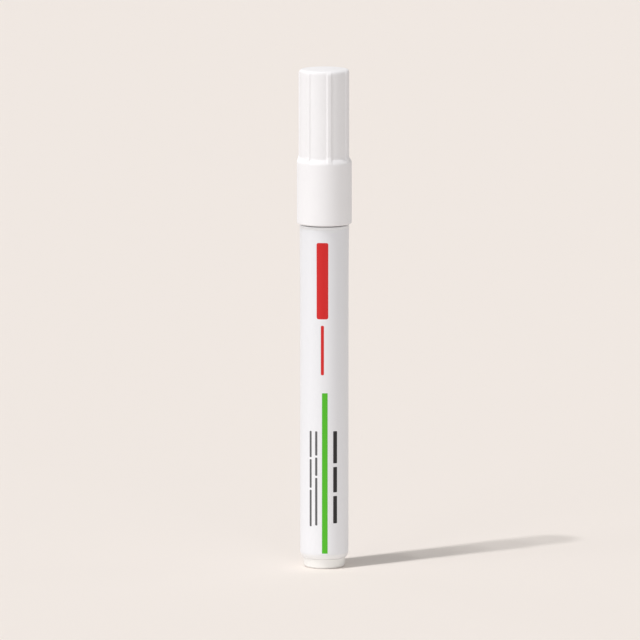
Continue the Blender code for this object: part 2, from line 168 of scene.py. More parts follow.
# Surface of plastics and film: a fine grain over a slow ripple
GRAIN_DETAIL = 3.0
GRAIN_ROUGHNESS = 0.6
RIPPLE_DETAIL = 2.0
RIPPLE_WEIGHT = 2.0       # in the height, beside the grain's 1
RIPPLE_MIDDLE = 0.5
CLOUDS = (0.3, 0.7)       # the ripple from which and to which the shade changes

# Moulded plastics: colour, shade of the clouds, roughness, gloss
PLASTICS = {
    "cap plastic": ((0.885, 0.875, 0.89, 1.0), (0.875, 0.865, 0.88, 1.0), 0.50, 0.22),
    "liner plastic": ((0.80, 0.81, 0.82, 1.0), (0.77, 0.78, 0.80, 1.0), 0.50, 0.50),
    "barrel plastic": ((0.835, 0.835, 0.845, 1.0), (0.825, 0.825, 0.835, 1.0), 0.42, 0.30),
    "foot plastic": ((0.85, 0.845, 0.83, 1.0), (0.84, 0.835, 0.82, 1.0), 0.50, 0.22),
    "nose plastic": ((0.86, 0.84, 0.82, 1.0), (0.84, 0.82, 0.80, 1.0), 0.42, 0.50),
    "valve plastic": ((0.76, 0.79, 0.81, 1.0), (0.72, 0.75, 0.78, 1.0), 0.45, 0.50),
    "stem plastic": ((0.70, 0.74, 0.78, 1.0), (0.66, 0.70, 0.75, 1.0), 0.40, 0.50),
}
PLASTIC_GRAIN_SCALE = 5200.0
PLASTIC_RIPPLE_SCALE = 260.0
PLASTIC_GRAIN_DEPTH = 0.000004
PLASTIC_SPREAD = 0.08     # how much the roughness changes over the surface
PLASTIC_IOR = 1.49

DUST = (0.62, 0.60, 0.57, 1.0)
DUST_SCALE = 900.0
DUST_SIZE = 0.04
DUSTY = (0.6, 0.8)        # the noise from which specks lie, and at which they are full size

# Elastic pieces: colour, painted shade in the sunken middle of a cell, cells to a metre, depth of
# a cell
ELASTICS = {
    "gasket foam": ((0.74, 0.74, 0.71, 1.0), (0.55, 0.55, 0.53, 1.0), 4000.0, 0.00003),
    "seal rubber": ((0.03, 0.03, 0.032, 1.0), (0.02, 0.02, 0.02, 1.0), 9000.0, 0.00001),
}
CELL_REACH = 0.7          # from the middle of a cell to its edge
CELL_ROUGHNESS = (0.9, 0.7)   # in the middle of a cell, and at its edge

# Printed film
LABEL_WHITE = (0.81, 0.815, 0.845, 1.0)
LABEL_SHADE = (0.805, 0.81, 0.84, 1.0)
LABEL_GRAIN_SCALE = 3000.0
LABEL_RIPPLE_SCALE = 180.0
LABEL_GRAIN_DEPTH = 0.000003
LABEL_ROUGHNESS = 0.36
LABEL_SPREAD = 0.06
LABEL_GLOSS = 0.35
GREEN_INK = (0.075, 0.475, 0.012, 1.0)
RED_INK = (0.62, 0.01, 0.01, 1.0)
DARK_INK = (0.015, 0.014, 0.016, 1.0)
GREY_INK = (0.10, 0.10, 0.105, 1.0)
PRINT_SOFTNESS = 0.00003

# Printed bars: ink, middle across, lower end, upper end, width, corner radius
PRINT = (
    (GREEN_INK, 0.00012, 0.00405, 0.0444, 0.00145, 0.0001),
    (RED_INK, -0.0005, 0.0629, 0.0820, 0.0030, 0.0005),
    (RED_INK, -0.0005, 0.0489, 0.0613, 0.0008, 0.0003),
    (DARK_INK, 0.00285, 0.0267, 0.0348, 0.0011, 0.0002),
    (DARK_INK, 0.00285, 0.0194, 0.0258, 0.0011, 0.0002),
    (DARK_INK, 0.00285, 0.0116, 0.0185, 0.0011, 0.0002),
    (GREY_INK, -0.0021, 0.0287, 0.0348, 0.0006, 0.0002),
    (GREY_INK, -0.0021, 0.0236, 0.0282, 0.0006, 0.0002),
    (GREY_INK, -0.0021, 0.0111, 0.0231, 0.0006, 0.0002),
    (GREY_INK, -0.0037, 0.0282, 0.0348, 0.0006, 0.0002),
    (GREY_INK, -0.0037, 0.0205, 0.0277, 0.0006, 0.0002),
    (GREY_INK, -0.0037, 0.0108, 0.0200, 0.0006, 0.0002),
)

# Felt of the tip
FELT_SHADE = (0.70, 0.68, 0.62, 1.0)
FELT_LIGHT = (0.88, 0.86, 0.81, 1.0)
FIBRE_SCALE = (9000.0, 9000.0, 900.0)   # across twice, and along the tip
FIBRE_DETAIL = 4.0
FIBRES = (0.35, 0.65)     # the noise from which and to which the shade changes
FIBRE_DEPTH = 0.00004
FELT_ROUGHNESS = (0.8, 1.0)
FELT_SHEEN = 0.3

# Spring steel
STEEL_SHADE = (0.55, 0.55, 0.56, 1.0)
STEEL_LIGHT = (0.68, 0.68, 0.69, 1.0)
STEEL_ROUGHNESS = (0.18, 0.34)
DRAWN_SCALE = 6000.0
DRAWN_DETAIL = 3.0
DRAWN_DEPTH = 0.000004

# Primer
PRIMER_TINT = (0.93, 0.90, 0.96, 1.0)
PRIMER_PALE = (0.97, 0.96, 0.98, 1.0)
PRIMER_ROUGHNESS = (0.01, 0.05)
PRIMER_SCALE = 150.0
PRIMER_DETAIL = 2.0
PRIMER_IOR = 1.37

# Floor and backdrop
FLOOR_HALF = 40.0
FLOOR_COLOUR = (0.88, 0.818, 0.772, 1.0)
FLOOR_DIM = (0.55, 0.52, 0.50, 1.0)     # what far floor gives back to the pen
FLOOR_NEAR = 0.10
FLOOR_FAR = 0.30
WORLD_STRENGTH = 0.41
WORLD_COLOUR = (1.0, 0.99, 0.98, 1.0)
BACKDROP = (0.868, 0.806, 0.759, 1.0)   # what the camera and the reflections see past the floor

# Lamps: name, turn from the camera's side (left is minus), elevation, strength and width, with
# all angles in degrees. The strips over the key light give the shadow its soft far end.
KEY_TURN = -55.2
STRIP_WIDTH = 2.5
FILL_RISE = 8.0
FILL_WIDTH = 24.0
LAMPS = (
    ("key", KEY_TURN, 60.3, 0.70, 2.0),
    ("top_strip_1", KEY_TURN, 65.0, 0.22, STRIP_WIDTH),
    ("top_strip_2", KEY_TURN, 71.0, 0.29, STRIP_WIDTH),
    ("top_strip_3", KEY_TURN, 74.5, 0.185, STRIP_WIDTH),
    ("top_strip_4", KEY_TURN, 80.5, 0.30, STRIP_WIDTH),
    ("left_softbox", -65.0, FILL_RISE, 0.62, FILL_WIDTH),
    ("front_fill_left", -30.0, FILL_RISE, 0.48, FILL_WIDTH),
    ("front_fill_right", 15.0, FILL_RISE, 0.34, FILL_WIDTH),
    ("right_fill", 100.0, FILL_RISE, 0.25, FILL_WIDTH),
    ("back_fill", -140.0, FILL_RISE, 0.22, FILL_WIDTH),
)

# Camera, as far from the pen and as high as in the photograph
CAMERA_BACK = 2.208
CAMERA_HEIGHT = 0.377
CAMERA_LENS = 505.0
SENSOR_WIDTH = 36.0
VIEW_SIDE = -0.00108      # the view's centre, beside the pen's axis
VIEW_HEIGHT = 0.0619


# Outlines, in the half plane of radius and height

def fillet(before, corner, after, radius):
    """Points of the arc that rounds a corner."""
    back = (Vector(before) - Vector(corner)).normalized()
    onward = (Vector(after) - Vector(corner)).normalized()
    half = back.angle(onward) / 2
    centre = Vector(corner) + (back + onward).normalized() * radius / math.sin(half)
    reach = radius / math.tan(half)
    start = Vector(corner) + back * reach - centre
    end = Vector(corner) + onward * reach - centre
    first = math.atan2(start.y, start.x)
    turn = (math.atan2(end.y, end.x) - first + math.pi) % math.tau - math.pi
    steps = max(FILLET_LEAST, math.ceil(abs(turn) / FILLET_STEP))
    return [
        (centre.x + radius * math.cos(first + turn * k / steps),
         centre.y + radius * math.sin(first + turn * k / steps))
        for k in range(steps + 1)
    ]


def supported(points):
    """The same outline with a row close to both ends of each longer straight stretch."""
    full = [points[0]]
    for start, end in zip(points, points[1:]):
        run = Vector(end) - Vector(start)
        if run.length > LONG:
            step = run.normalized() * SUPPORT
            full += [tuple(Vector(start) + step), tuple(Vector(end) - step)]
        full.append(end)
    return full


def supported_ring(points):
    """The same for a closed outline, whose last point isn't its first."""
    return supported(points + points[:1])[:-1]


def outline(corners, closed=False):
    """Points of an outline from its corners, each (radius, height) or (radius, height, round)."""
    points = []
    last = len(corners) - 1
    for k, corner in enumerate(corners):
        inside = closed or 0 < k < last
        if len(corner) == 3 and inside:
            before, after = corners[k - 1], corners[(k + 1) % len(corners)]
            points += fillet(before[:2], corner[:2], after[:2], corner[2])
        else:
            points.append(tuple(corner[:2]))
    return points


def ellipse(centre, run, rise, start, end, rows):
    """Points of an elliptical arc. Angle 0 points away from the axis, a quarter turn up."""
    return [
        (centre[0] + run * math.cos(start + (end - start) * k / rows),
         centre[1] + rise * math.sin(start + (end - start) * k / rows))
        for k in range(rows + 1)
    ]


def bead(radius, z, wall):
    """Corners of a low snap bead on an outer wall, or of the groove for it in a bore."""
    half = BEAD_HALF * wall
    return [
        (radius, z - half, BEAD_HALF),
        (radius + BEAD_HEIGHT, z, BEAD_HALF),
        (radius, z + half, BEAD_HALF),
    ]


# Turned pieces

def spun(points, segments, closed):
    """A bmesh of the outline spun once round the pen's axis."""
    work = bmesh.new()
    rows = [work.verts.new((radius, 0, z)) for radius, z in points]
    edges = [work.edges.new(pair) for pair in zip(rows, rows[1:])]
    if closed:
        edges.append(work.edges.new((rows[-1], rows[0])))
    bmesh.ops.spin(
        work, geom=rows + edges, cent=(0, 0, 0), axis=(0, 0, 1), dvec=(0, 0, 0),
        angle=math.tau, steps=segments, use_merge=True, use_normal_flip=False,
        use_duplicate=False,
    )
    bmesh.ops.remove_doubles(work, verts=work.verts, dist=MERGE)
    bmesh.ops.recalc_face_normals(work, faces=work.faces)
    return work


def finished(name, work, body, node, material):
    """The bmesh as a piece that stands for a node of the frame."""
    mesh = bpy.data.meshes.new(name)
    work.to_mesh(mesh)
    work.free()
    mesh.shade_smooth()
    mesh.set_sharp_from_angle(angle=SHARP_ANGLE)
    piece = bpy.data.objects.new(name, mesh)
    bpy.context.scene.collection.objects.link(piece)
    mesh.materials.append(material)
    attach(piece, body)
    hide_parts(node)
    return piece


def radius_of(node):
    """The outer radius of a node of the frame."""
    low, high = boxes[node]
    return (high.x - low.x) / 2


# Cap

def rib_blend(column, rib_radius):
    """(turn, height share) of a column of the cap, counted from the middle of a rib."""
    half_top = RIB_WIDTH / (2 * rib_radius)
    flank = RIB_FLANK / rib_radius
    pitch = math.tau / RIBS
    floor = pitch - 2 * (half_top + flank)
    columns = RIB_COLUMNS + 2 * FLANK_COLUMNS + FLOOR_COLUMNS
    rib, place = divmod(column, columns)
    start = rib * pitch
    if place <= RIB_COLUMNS / 2:
        return start + half_top * place / (RIB_COLUMNS / 2), 1.0
    place -= RIB_COLUMNS / 2
    if place <= FLANK_COLUMNS:
        share = place / FLANK_COLUMNS
        return start + half_top + flank * share, 0.5 + 0.5 * math.cos(math.pi * share)
    place -= FLANK_COLUMNS
    if place <= FLOOR_COLUMNS:
        share = 0.5 - 0.5 * math.cos(math.pi * place / FLOOR_COLUMNS)
        return start + half_top + flank + floor * share, 0.0
    place -= FLOOR_COLUMNS
    if place <= FLANK_COLUMNS:
        share = place / FLANK_COLUMNS
        turn = start + half_top + flank + floor + flank * share
        return turn, 0.5 - 0.5 * math.cos(math.pi * share)
    place -= FLANK_COLUMNS
    return start + pitch - half_top + half_top * place / (RIB_COLUMNS / 2), 1.0


def soft_least(a, b, width):
    """The smaller of two lengths, with a soft change from one to the other."""
    gap = max(width - abs(a - b), 0) / width
    return min(a, b) - gap * gap * width / 4


def build_cap(material):
    low, high = boxes["cap_shell"]
    skirt = radius_of("cap_shell")
    bore = skirt - SKIRT_WALL
    crest = skirt - GRIP_DROP
    floor = crest - RIB_HEIGHT
    grip_bore = floor - GRIP_WALL
    skirt_foot = low.z - SKIRT_DROP
    skirt_top = low.z + SKIRT_LENGTH
    flute_z = skirt_top + SHOULDER_RISE
    rib_foot = flute_z + RIB_FOOT_RISE
    edge = crest - CAP_EDGE_ROUND
    edge_z = high.z - DOME_RISE - CAP_EDGE_ROUND
    step_z = flute_z - CAP_STEP_DROP
    roof_z = high.z - CAP_ROOF

    dome = [
        (edge * k / DOME_ROWS, high.z - DOME_RISE * (k / DOME_ROWS) ** 2)
        for k in range(DOME_ROWS)
    ]
    rim = ellipse((edge, edge_z), CAP_EDGE_ROUND, CAP_EDGE_ROUND, math.pi / 2, 0, EDGE_ROWS)
    shoulder = [
        (crest + (skirt - crest) * k / SHOULDER_ROWS,
         rib_foot + (skirt_top - rib_foot) * k / SHOULDER_ROWS)
        for k in range(SHOULDER_ROWS)
    ]
    rest = [shoulder[-1], (skirt, skirt_top, SKIRT_TOP_ROUND)]
    rest += [
        (skirt, skirt_top - SHOULDER_RISE * k / SHOULDER_ROWS)
        for k in range(2, SHOULDER_ROWS, 2)
    ]
    rest += [(skirt, skirt_foot, SKIRT_ROUND), (bore, skirt_foot, EDGE)]
    rest += bead(bore, boxes["nose_cone"][0].z + COLLAR_BEAD_UP, BORE_WALL)
    rest += [(bore, step_z - SHOULDER_RISE, EDGE), (grip_bore, step_z, EDGE)]
    rest += [(grip_bore, roof_z, EDGE), (0, roof_z)]
    points = dome + supported(rim + shoulder[:-1]) + supported(outline(rest))

    columns = RIBS * (RIB_COLUMNS + 2 * FLANK_COLUMNS + FLOOR_COLUMNS)
    places = [rib_blend(column, crest) for column in range(columns)]
    slope = (skirt - floor) / (SHOULDER_RISE - SHOULDER_LIP)
    work = spun(points, columns, closed=False)
    for vert in work.verts:
        radius = math.hypot(vert.co.x, vert.co.y)
        if radius < MERGE:
            continue
        column = round(math.atan2(vert.co.y, vert.co.x) / math.tau * columns) % columns
        turn, share = places[column]
        outside = radius > grip_bore + GRIP_WALL / 2 or vert.co.z > high.z - CAP_ROOF / 2
        if outside and vert.co.z > skirt_top - SHOULDER_RISE:
            fluted = floor + max(0, flute_z - vert.co.z) * slope
            width = RUN_OUT if vert.co.z > rib_foot else SHOULDER_SOFT
            radius += (soft_least(radius, fluted, width) - radius) * (1 - share)
        angle = RIB_TURN - math.pi / 2 + turn
        vert.co.x = radius * math.cos(angle)
        vert.co.y = radius * math.sin(angle)
    finished("ribbed_cap", work, "cap", "cap_shell", material)


def build_liner(material):
    low, high = boxes["cap_liner"]
    outer = radius_of("cap_liner")
    lower = outer - LINER_WALL
    upper = outer - LINER_UPPER_WALL
    step_z = low.z + LINER_STEP_UP
    corners = [(0, high.z), (outer, high.z, EDGE), (outer, low.z, EDGE), (lower, low.z, EDGE)]
    corners += [(lower, step_z, EDGE), (upper, step_z + LINER_STEP, EDGE)]
    corners += [(upper, high.z - LINER_ROOF, EDGE), (0, high.z - LINER_ROOF)]
    work = spun(supported(outline(corners)), SEGMENTS, closed=False)
    finished("inner_cap", work, "cap", "cap_liner", material)


# Barrel, label and foot

def flare(z, top):
    """Extra radius of the barrel near its shoulder."""
    share = max(0, 1 - (top - z) / FLARE_LENGTH)
    return LIP_FLARE * share * share


def side_rows(top, bottom, shoulder, radius):
    """The barrel's long side, from near its shoulder down to its rounded lower edge."""
    start = shoulder - FLARE_LENGTH
    rows = [top + (start - top) * k / FLARE_ROWS for k in range(FLARE_ROWS + 1)]
    return [(radius + flare(z, shoulder), z) for z in rows] + [(radius, bottom)]


def lower_round(rim, radius, offset, start_z, end_z):
    """The rounded lower edge between two heights, moved out by an offset."""
    centre = (radius - ROUND_RUN, rim + ROUND_RISE * math.sin(ROUND_END))
    first, last = (
        math.asin(max(-1, (z - centre[1]) / (ROUND_RISE + offset))) for z in (start_z, end_z)
    )
    return ellipse(centre, ROUND_RUN + offset, ROUND_RISE + offset, first, last, ROUND_ROWS)


def build_barrel(material):
    low, high = boxes["barrel"]
    film_low, film_high = boxes["label_sleeve"]
    lip = radius_of("barrel")
    radius = lip - LIP_FLARE
    neck = radius - LEDGE
    neck_bore = neck - NECK_WALL
    bore = radius - BARREL_WALL
    shoulder = high.z - NECK_LENGTH
    bore_end = shoulder - BORE_DROP
    panel_top = film_high.z + FILM_END_GAP
    panel_bottom = film_low.z - FILM_END_GAP
    depth = FILM + FILM_GAP
    centre_z = low.z + ROUND_RISE * math.sin(ROUND_END)
    side = side_rows(panel_top, centre_z, shoulder, radius - depth)
    corners = [(neck_bore, high.z, EDGE), (neck, high.z, EDGE)]
    corners += bead(neck, high.z - NECK_BEAD_DOWN, OUTER_WALL)
    corners += [(neck, shoulder, EDGE), (lip, shoulder, LIP_ROUND)]
    corners += [(radius + flare(panel_top, shoulder), panel_top), side[0]]
    points = outline(corners)
    points += side[1:]
    points += lower_round(low.z, radius, -depth, centre_z, panel_bottom)[1:]
    points += lower_round(low.z, radius, 0, panel_bottom, low.z)
    inner = [points[-1], (bore, low.z, EDGE)]
    inner += bead(bore, low.z + PLUG_BEAD_UP, BORE_WALL)
    inner += [(bore, bore_end - BORE_TAPER), (neck_bore, bore_end), points[0]]
    points += outline(inner)[1:-1]
    work = spun(supported_ring(points), SEGMENTS, closed=True)
    finished("pen_barrel", work, "barrel", "barrel", material)


def build_label(material):
    low, high = boxes["label_sleeve"]
    rim = boxes["barrel"][0].z
    shoulder = boxes["barrel"][1].z - NECK_LENGTH
    radius = radius_of("barrel") - LIP_FLARE
    centre_z = rim + ROUND_RISE * math.sin(ROUND_END)
    outer = side_rows(high.z, centre_z, shoulder, radius)
    outer += lower_round(rim, radius, 0, centre_z, low.z)[1:]
    inner = side_rows(high.z, centre_z, shoulder, radius - FILM)
    inner += lower_round(rim, radius, -FILM, centre_z, low.z)[1:]
    work = spun(outer + inner[::-1], SEGMENTS, closed=True)
    for vert in work.verts:
        across = math.hypot(vert.co.x, vert.co.y)
        turn = math.atan2(vert.co.x, vert.co.y)
        outside = across > radius - FILM / 2 and vert.co.z > centre_z
        if outside and 0 <= turn <= OVERLAP_TURN:
            grown = (across + OVERLAP_LIFT) / across
            vert.co.x *= grown
            vert.co.y *= grown
    finished("printed_label", work, "barrel", "label_sleeve", material)


def build_end_plug(material):
    low, high = boxes["end_plug"]
    foot = radius_of("end_plug")
    plug = foot - PLUG_SETBACK
    inner = plug - PLUG_WALL
    lower = foot - FOOT_DRAFT
    dish = lower - FOOT_ROUND - DISH_RIM
    dish_z = low.z + DISH_DEPTH
    gate_z = dish_z - GATE_HEIGHT
    rim = boxes["barrel"][0].z
    top = rim - SEAM
    floor = dish_z + PLUG_FLOOR
    corners = [(0, floor), (inner, floor, EDGE), (inner, high.z, EDGE)]
    corners += [(plug - PLUG_LEAD_IN, high.z), (plug, high.z - PLUG_LEAD_IN)]
    corners += bead(plug, rim + PLUG_BEAD_UP, OUTER_WALL)
    corners += [(plug, top, EDGE), (foot, top, EDGE), (lower, low.z, FOOT_ROUND)]
    corners += [(dish + DISH_DEPTH, low.z, EDGE), (dish, dish_z, EDGE)]
    corners += [(GATE_RADIUS, dish_z, EDGE), (GATE_RADIUS - EDGE, gate_z), (0, gate_z)]
    work = spun(supported(outline(corners)), SEGMENTS, closed=False)
    finished("foot_plug", work, "barrel", "end_plug", material)


# Nose, tip and valve spring

def build_nose(material):
    low, high = boxes["nose_cone"]
    collar = radius_of("nose_cone")
    collar_bore = collar - COLLAR_WALL
    seat = collar - NOSE_SEAT_DROP
    seat_bore = seat - NOSE_WALL
    guide = radius_of("nib") + GUIDE_GAP
    tip = guide + NOSE_TIP_WALL
    roof = low.z + NOSE_ROOF_UP
    shoulder = roof + NOSE_SHOULDER
    cone = shoulder + NOSE_SEAT_LENGTH
    corners = [(guide, high.z, EDGE), (tip, high.z, NOSE_TIP_ROUND)]
    corners += [(tip, cone + NOSE_CONE_LENGTH, EDGE)]
    corners += [(seat, cone, NOSE_TIP_ROUND), (seat, shoulder, NOSE_TIP_ROUND)]
    corners += [(collar, shoulder, NOSE_SHOULDER_ROUND)]
    corners += bead(collar, low.z + COLLAR_BEAD_UP, OUTER_WALL)
    corners += [(collar, low.z, EDGE), (collar_bore, low.z, EDGE)]
    corners += bead(collar_bore, boxes["barrel"][1].z - NECK_BEAD_DOWN, BORE_WALL)
    corners += [(collar_bore, roof, EDGE), (seat_bore, roof), (seat_bore, cone)]
    corners += [(guide, high.z - NOSE_GUIDE_LENGTH)]
    work = spun(supported_ring(outline(corners, closed=True)), SEGMENTS, closed=True)
    finished("front_nose", work, "barrel", "nose_cone", material)


def build_nib(material):
    low, high = boxes["nib"]
    radius = radius_of("nib")
    points = ellipse((0, high.z - NIB_POINT), radius, NIB_POINT, math.pi / 2, 0, NIB_ROWS)
    points[0] = (0, high.z)
    points += [(radius, low.z + NIB_CHAMFER), (radius - NIB_CHAMFER, low.z), (0, low.z)]
    work = spun(supported(points), SEGMENTS, closed=False)
    finished("felt_tip", work, "tip", "nib", material)


def build_spring(material):
    """A coil of wire for the valve spring, which shortens as the tip is pressed; here it is built
    at one length.
    """
    low, high = boxes["valve_spring"]
    coil = radius_of("valve_spring") - WIRE_RADIUS
    steps = SPRING_TURNS * TURN_STEPS
    rise = (high.z - low.z - 2 * WIRE_RADIUS) / steps
    upright = Matrix.Rotation(math.pi / 2, 4, "X")
    start = Matrix.Translation((coil, 0, low.z + WIRE_RADIUS)) @ upright
    work = bmesh.new()
    bmesh.ops.create_circle(work, segments=WIRE_SIDES, radius=WIRE_RADIUS, matrix=start)
    bmesh.ops.spin(
        work, geom=work.verts[:] + work.edges[:], cent=(0, 0, 0), axis=(0, 0, 1),
        dvec=(0, 0, rise), angle=math.tau * SPRING_TURNS, steps=steps, use_merge=False,
        use_normal_flip=False, use_duplicate=False,
    )
    bmesh.ops.remove_doubles(work, verts=work.verts, dist=MERGE)
    open_ends = [edge for edge in work.edges if edge.is_boundary]
    bmesh.ops.holes_fill(work, edges=open_ends, sides=WIRE_SIDES)
    bmesh.ops.recalc_face_normals(work, faces=work.faces)
    piece = finished("coil_spring", work, "barrel", "valve_spring", material)
    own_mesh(piece)


# Nodes of the materials

def set_input(tree, socket, value):
    """Links an input to a socket, or sets it to a value."""
    if isinstance(value, bpy.types.NodeSocket):
        tree.links.new(value, socket)
    else:
        socket.default_value = value


def add_node(tree, kind, inputs=None, **settings):
    """A node with its settings and its inputs."""
    node = tree.nodes.new(kind)
    node.location.x = 200 * len(tree.nodes)
    for name, value in settings.items():
        setattr(node, name, value)
    for name, value in (inputs or {}).items():
        set_input(tree, node.inputs[name], value)
    return node


def add_math(tree, operation, first, second=0.0, third=0.0):
    inputs = {0: first, 1: second, 2: third}
    return add_node(tree, "ShaderNodeMath", inputs, operation=operation).outputs[0]


def add_mix(tree, share, first, second):
    """The colour between two, by a share."""
    node = add_node(tree, "ShaderNodeMix", data_type="RGBA")
    for name, value in (("Factor_Float", share), ("A_Color", first), ("B_Color", second)):
        set_input(tree, next(s for s in node.inputs if s.identifier == name), value)
    return next(s for s in node.outputs if s.identifier == "Result_Color")


def add_range(tree, value, low, high, to_low=0.0, to_high=1.0):
    """The value with one range made another, and held at its ends."""
    node = add_node(tree, "ShaderNodeMapRange", {
        "Value": value, "From Min": low, "From Max": high, "To Min": to_low, "To Max": to_high,
    })
    return node.outputs["Result"]


def new_group(name, inputs, outputs):
    """A shader node group with named sockets. Returns it with its input and output nodes."""
    group = bpy.data.node_groups.new(name, "ShaderNodeTree")
    for direction, sockets in (("INPUT", inputs), ("OUTPUT", outputs)):
        for socket, kind in sockets:
            group.interface.new_socket(socket, in_out=direction, socket_type="NodeSocket" + kind)
    return group, group.nodes.new("NodeGroupInput"), group.nodes.new("NodeGroupOutput")


def moulded_group():
    """Fine grain and slow ripple of a moulded surface, as a height and a roughness."""
    group, given, result = new_group(
        "moulded surface",
        [("Position", "Vector"), ("Grain Scale", "Float"), ("Ripple Scale", "Float"),
         ("Roughness", "Float"), ("Spread", "Float")],
        [("Height", "Float"), ("Roughness", "Float"), ("Cloud", "Float")],
    )
    grain = add_node(group, "ShaderNodeTexNoise", {
        "Vector": given.outputs["Position"], "Scale": given.outputs["Grain Scale"],
        "Detail": GRAIN_DETAIL, "Roughness": GRAIN_ROUGHNESS,
    }).outputs["Fac"]
    ripple = add_node(group, "ShaderNodeTexNoise", {
        "Vector": given.outputs["Position"], "Scale": given.outputs["Ripple Scale"],
        "Detail": RIPPLE_DETAIL,
    }).outputs["Fac"]
    height = add_math(group, "MULTIPLY_ADD", ripple, RIPPLE_WEIGHT, grain)
    centred = add_math(group, "SUBTRACT", ripple, RIPPLE_MIDDLE)
    spread, middle = given.outputs["Spread"], given.outputs["Roughness"]
    rough = add_math(group, "MULTIPLY_ADD", centred, spread, middle)
    group.links.new(height, result.inputs["Height"])
    group.links.new(rough, result.inputs["Roughness"])
    group.links.new(ripple, result.inputs["Cloud"])
    return group


def specks_group():
    """Sparse specks of dust, as a mask."""
    group, given, result = new_group(
        "dust specks",
        [("Position", "Vector"), ("Scale", "Float"), ("Size", "Float")],
        [("Mask", "Float")],
    )
    place = {"Vector": given.outputs["Position"], "Scale": given.outputs["Scale"]}
    cells = add_node(group, "ShaderNodeTexVoronoi", place).outputs["Distance"]
    patches = add_node(group, "ShaderNodeTexNoise", {**place, "Detail": 0.0}).outputs["Fac"]
    share = add_range(group, patches, *DUSTY)
    size = add_math(group, "MULTIPLY", share, given.outputs["Size"])
    group.links.new(add_math(group, "LESS_THAN", cells, size), result.inputs["Mask"])
    return group


def bar_group():
    """A printed bar with round corners, as a mask over the unrolled label."""
    sizes = (
        "Across", "Along", "Centre Across", "Centre Along", "Half Width", "Half Length",
        "Corner", "Softness",
    )
    group, given, result = new_group(
        "printed bar", [(size, "Float") for size in sizes], [("Mask", "Float")]
    )
    corner = given.outputs["Corner"]
    sides = []
    for way, middle, half in (
        ("Across", "Centre Across", "Half Width"), ("Along", "Centre Along", "Half Length")
    ):
        offset = add_math(group, "SUBTRACT", given.outputs[way], given.outputs[middle])
        straight = add_math(group, "SUBTRACT", given.outputs[half], corner)
        past = add_math(group, "SUBTRACT", add_math(group, "ABSOLUTE", offset), straight)
        sides.append(add_math(group, "MAXIMUM", past, 0.0))
    square = add_math(group, "MULTIPLY", sides[1], sides[1])
    squares = add_math(group, "MULTIPLY_ADD", sides[0], sides[0], square)
    distance = add_math(group, "SUBTRACT", add_math(group, "SQRT", squares), corner)
    inside = add_math(group, "DIVIDE", distance, given.outputs["Softness"])
    mask = add_range(group, inside, -1.0, 1.0, 1.0, 0.0)
    group.links.new(mask, result.inputs["Mask"])
    return group


GROUPS = {"moulded": moulded_group(), "specks": specks_group(), "bar": bar_group()}


def add_group(tree, name, inputs):
    node = add_node(tree, "ShaderNodeGroup", node_tree=GROUPS[name])
    for socket, value in inputs.items():
        set_input(tree, node.inputs[socket], value)
    return node.outputs


def new_material(name):
    """A material with its tree, its Principled shader and the object's coordinates."""
    material = bpy.data.materials.new(name)
    material.use_nodes = True
    tree = material.node_tree
    shader = tree.nodes["Principled BSDF"]
    position = add_node(tree, "ShaderNodeTexCoord").outputs["Object"]
    return material, tree, shader, position


def add_bump(tree, shader, height, distance):
    bump = add_node(tree, "ShaderNodeBump", {"Height": height, "Distance": distance})
    tree.links.new(bump.outputs["Normal"], shader.inputs["Normal"])


# Materials

def moulded_plastic(name):
    """A satin moulded plastic, with slight clouds of a second shade and a few specks of dust."""
    colour, shade, roughness, gloss = PLASTICS[name]
    material, tree, shader, position = new_material(name)
    surface = add_group(tree, "moulded", {
        "Position": position, "Grain Scale": PLASTIC_GRAIN_SCALE,
        "Ripple Scale": PLASTIC_RIPPLE_SCALE, "Roughness": roughness, "Spread": PLASTIC_SPREAD,
    })
    base = add_mix(tree, add_range(tree, surface["Cloud"], *CLOUDS), colour, shade)
    specks = add_group(tree, "specks", {
        "Position": position, "Scale": DUST_SCALE, "Size": DUST_SIZE,
    })
    dusty = add_mix(tree, specks["Mask"], base, DUST)
    tree.links.new(dusty, shader.inputs["Base Color"])
    tree.links.new(surface["Roughness"], shader.inputs["Roughness"])
    add_bump(tree, shader, surface["Height"], PLASTIC_GRAIN_DEPTH)
    shader.inputs["IOR"].default_value = PLASTIC_IOR
    shader.inputs["Specular IOR Level"].default_value = gloss
    return material


def label_film():
    """White film with bars of ink, laid out over its length and its way round."""
    material, tree, shader, position = new_material("printed film")
    axes = add_node(tree, "ShaderNodeSeparateXYZ", {"Vector": position}).outputs
    front = add_math(tree, "MULTIPLY", axes["Y"], -1.0)
    turn = add_math(tree, "ARCTAN2", axes["X"], front)
    across = add_math(tree, "MULTIPLY", turn, radius_of("label_sleeve"))
    surface = add_group(tree, "moulded", {
        "Position": position, "Grain Scale": LABEL_GRAIN_SCALE,
        "Ripple Scale": LABEL_RIPPLE_SCALE, "Roughness": LABEL_ROUGHNESS,
        "Spread": LABEL_SPREAD,
    })
    cloud = add_range(tree, surface["Cloud"], *CLOUDS)
    colour = add_mix(tree, cloud, LABEL_WHITE, LABEL_SHADE)
    for ink, middle, lower, upper, width, corner in PRINT:
        bar = add_group(tree, "bar", {
            "Across": across, "Along": axes["Z"], "Centre Across": middle,
            "Centre Along": (lower + upper) / 2, "Half Width": width / 2,
            "Half Length": (upper - lower) / 2, "Corner": corner, "Softness": PRINT_SOFTNESS,
        })
        colour = add_mix(tree, bar["Mask"], colour, ink)
    tree.links.new(colour, shader.inputs["Base Color"])
    tree.links.new(surface["Roughness"], shader.inputs["Roughness"])
    add_bump(tree, shader, surface["Height"], LABEL_GRAIN_DEPTH)
    shader.inputs["Specular IOR Level"].default_value = LABEL_GLOSS
    return material


